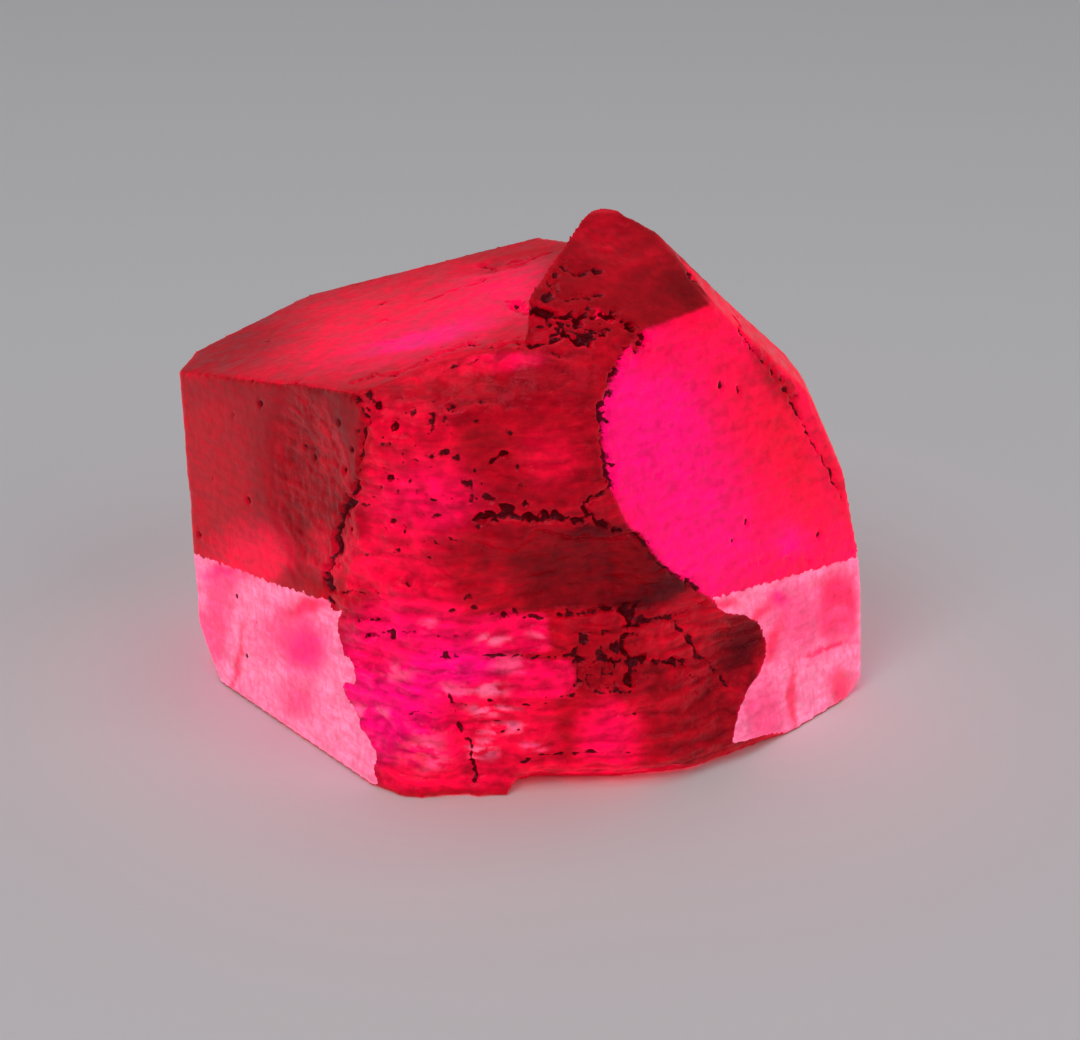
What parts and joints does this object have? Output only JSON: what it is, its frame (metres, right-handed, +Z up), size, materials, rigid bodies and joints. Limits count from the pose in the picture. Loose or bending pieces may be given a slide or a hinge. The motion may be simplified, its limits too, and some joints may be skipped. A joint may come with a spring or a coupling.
{
  "type": "raw ruby crystal",
  "caption": "Rough ruby crystal: a stout, roughly six-sided prism with flat growth faces, a sloping top with a pointed tooth and a broken, ledged front, standing on a flat base.",
  "frame": {"origin": "middle of the bounding box at the flat base the crystal rests on", "axes": "+Z up; the broken front faces -Y; +X runs along the width, from the tapered left corner to the steep right face"},
  "size_m": [0.0296, 0.022, 0.0219],
  "materials": {
    "ruby": "satin, rough where broken"
  },
  "bodies": {
    "root": {"ruby_crystal": "ruby"}
  },
  "joints": []
}
